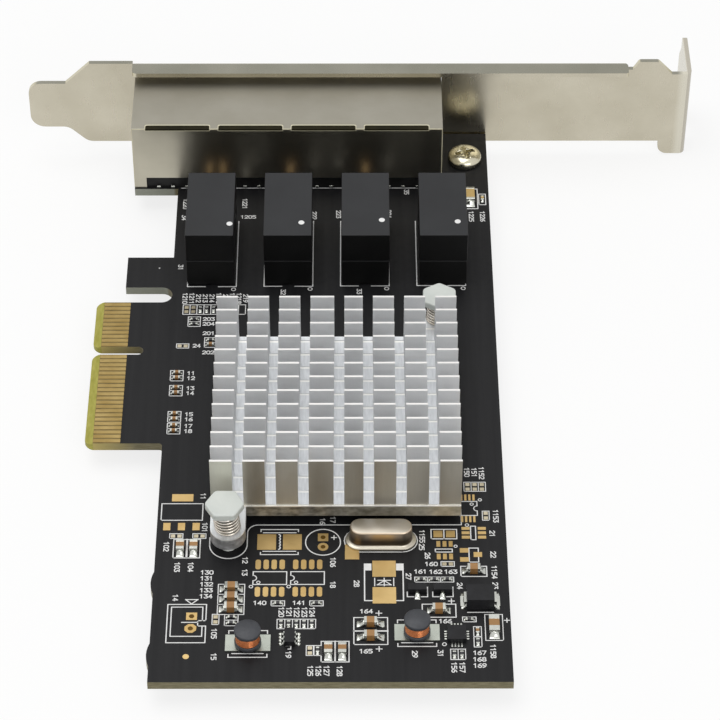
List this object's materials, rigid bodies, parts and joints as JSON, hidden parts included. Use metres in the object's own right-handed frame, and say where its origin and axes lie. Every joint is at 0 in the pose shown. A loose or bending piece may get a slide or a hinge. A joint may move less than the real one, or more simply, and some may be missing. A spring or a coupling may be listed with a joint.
{
  "type": "network interface card",
  "caption": "Network card for a computer's expansion slot: black board with gold edge contacts, ganged jacks in a folded steel bracket, tall magnetics and a pin-fin heat sink.",
  "frame": {"origin": "centre line of the edge connector's key notch, at the connector's tip, on the component face", "axes": "+X from the edge connector to the card's top edge, +Y towards the bracket, +Z out of the component face"},
  "size_m": [0.1207, 0.1443, 0.0215],
  "materials": {
    "solder_mask": "black satin solder mask on glass-fibre laminate",
    "gold_contacts": "gold plate",
    "tinned_pads": "bare gold-plated copper",
    "bracket_steel": "nickel-plated, satin",
    "screw_steel": "pale yellow plate",
    "jack_shield": "tinned, smooth",
    "jack_plastic": "black, glass-filled",
    "jack_contacts": "gold plate",
    "lamp_lens": "clear, frosted",
    "module_case": "black moulded case",
    "sink_metal": "extruded and sawn, bare",
    "chip_case": "black moulded package",
    "pad_rubber": "soft grey",
    "pin_nylon": "translucent white nylon",
    "spring_steel": "bright drawn wire",
    "crystal_metal": "nickel-plated can",
    "lead_tin": "bright tin",
    "ferrite": "dark grey ferrite",
    "copper_wire": "enamelled copper",
    "capacitor_ceramic": "brown fired ceramic",
    "resistor_ceramic": "dark glaze"
  },
  "bodies": {
    "root": {"circuit_board": "solder_mask", "edge_contacts": "gold_contacts", "bare_pads": "tinned_pads", "bracket": "bracket_steel", "bracket_screw": "screw_steel", "port_shield": "jack_shield", "port_housing": "jack_plastic", "port_contacts": "jack_contacts", "port_lamps": "lamp_lens", "magnetics_module_1": "module_case", "magnetics_module_2": "module_case", "magnetics_module_3": "module_case", "magnetics_module_4": "module_case", "heat_sink": "sink_metal", "controller_chip": "chip_case", "thermal_pad": "pad_rubber", "push_pin_near": "pin_nylon", "push_pin_far": "pin_nylon", "pin_spring_near": "spring_steel", "pin_spring_far": "spring_steel", "crystal_can": "crystal_metal", "crystal_leads": "lead_tin", "inductor_core_left": "ferrite", "inductor_core_right": "ferrite", "inductor_winding_left": "copper_wire", "inductor_winding_right": "copper_wire", "inductor_terminals_left": "lead_tin", "inductor_terminals_right": "lead_tin", "large_capacitors": "capacitor_ceramic", "small_capacitors": "capacitor_ceramic", "resistors": "resistor_ceramic", "transistor_bodies": "chip_case", "transistor_leads": "lead_tin", "amplifier_body": "chip_case", "amplifier_leads": "lead_tin", "converter_chip": "chip_case", "diode_body": "chip_case", "diode_leads": "lead_tin"}
  },
  "joints": []
}
